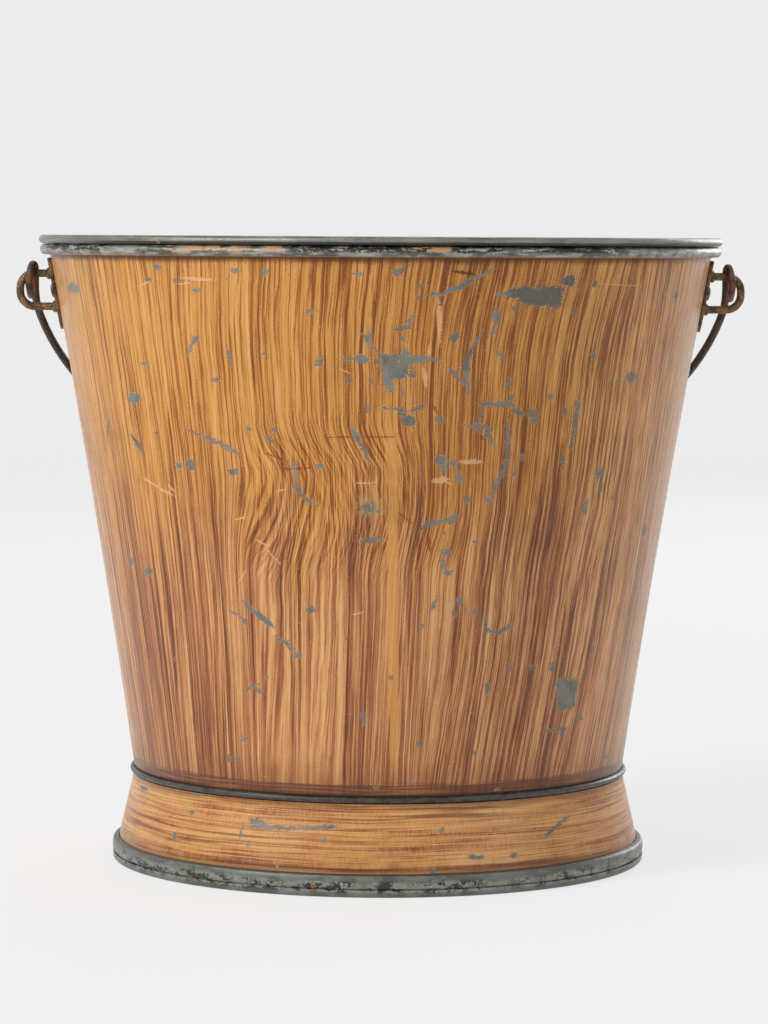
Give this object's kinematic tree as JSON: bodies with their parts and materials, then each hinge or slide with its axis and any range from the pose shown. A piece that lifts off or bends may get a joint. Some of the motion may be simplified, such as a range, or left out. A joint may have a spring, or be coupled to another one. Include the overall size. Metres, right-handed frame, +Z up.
{
  "type": "milk pail",
  "caption": "Tapered round tin milk pail with wired rim, riveted wire ears, swinging bail, flared hooped foot and sunken lift-out lid, painted as combed wood.",
  "frame": {"origin": "on the floor under the middle of the pail", "axes": "+Z up, the front faces -Y, the ears lie on the X axis and the bail rests on the +Y side"},
  "size_m": [0.3484, 0.326, 0.2982],
  "materials": {
    "combed_paint": "worn gloss combed wood-grain paint, chipped to grey tin",
    "tinned_sheet": "dull tinned sheet with paint remains",
    "worn_paint": "black paint worn through to grey tin",
    "ear_iron": "dark rusted iron",
    "bail_iron": "rust-brown drawn iron wire",
    "iron_wire": "bare drawn wire"
  },
  "bodies": {
    "pail": {"body_shell": "combed_paint", "rim_wire": "iron_wire", "body_bottom": "tinned_sheet", "foot_skirt": "combed_paint", "foot_hoop": "worn_paint", "waist_moulding": "worn_paint", "ear_plate_left": "ear_iron", "ear_plate_right": "ear_iron", "ear_loop_left": "ear_iron", "ear_loop_right": "ear_iron", "ear_rivet_left_front": "ear_iron", "ear_rivet_left_back": "ear_iron", "ear_rivet_right_front": "ear_iron", "ear_rivet_right_back": "ear_iron"},
    "bail_body": {"bail": "bail_iron"},
    "lid": {"lid_pan": "tinned_sheet", "lid_wire": "iron_wire", "lid_ring_clip": "ear_iron", "lid_rivet_front": "ear_iron", "lid_rivet_back": "ear_iron"},
    "ring": {"lid_ring": "bail_iron"}
  },
  "joints": [
    {"name": "bail_swing", "type": "hinge", "parent": "pail", "child": "bail_body", "pos_m": [0, 0, 0.2798], "axis": [1, 0, 0], "range_deg": [0, 259]},
    {"name": "lid_lift", "type": "slide", "parent": "pail", "child": "lid", "axis": [0, 0, 1], "range_m": [0, 0.06]},
    {"name": "lid_ring_fold", "type": "hinge", "parent": "lid", "child": "ring", "pos_m": [0, 0, 0.2872], "axis": [-1, 0, 0], "range_deg": [0, 180]}
  ]
}
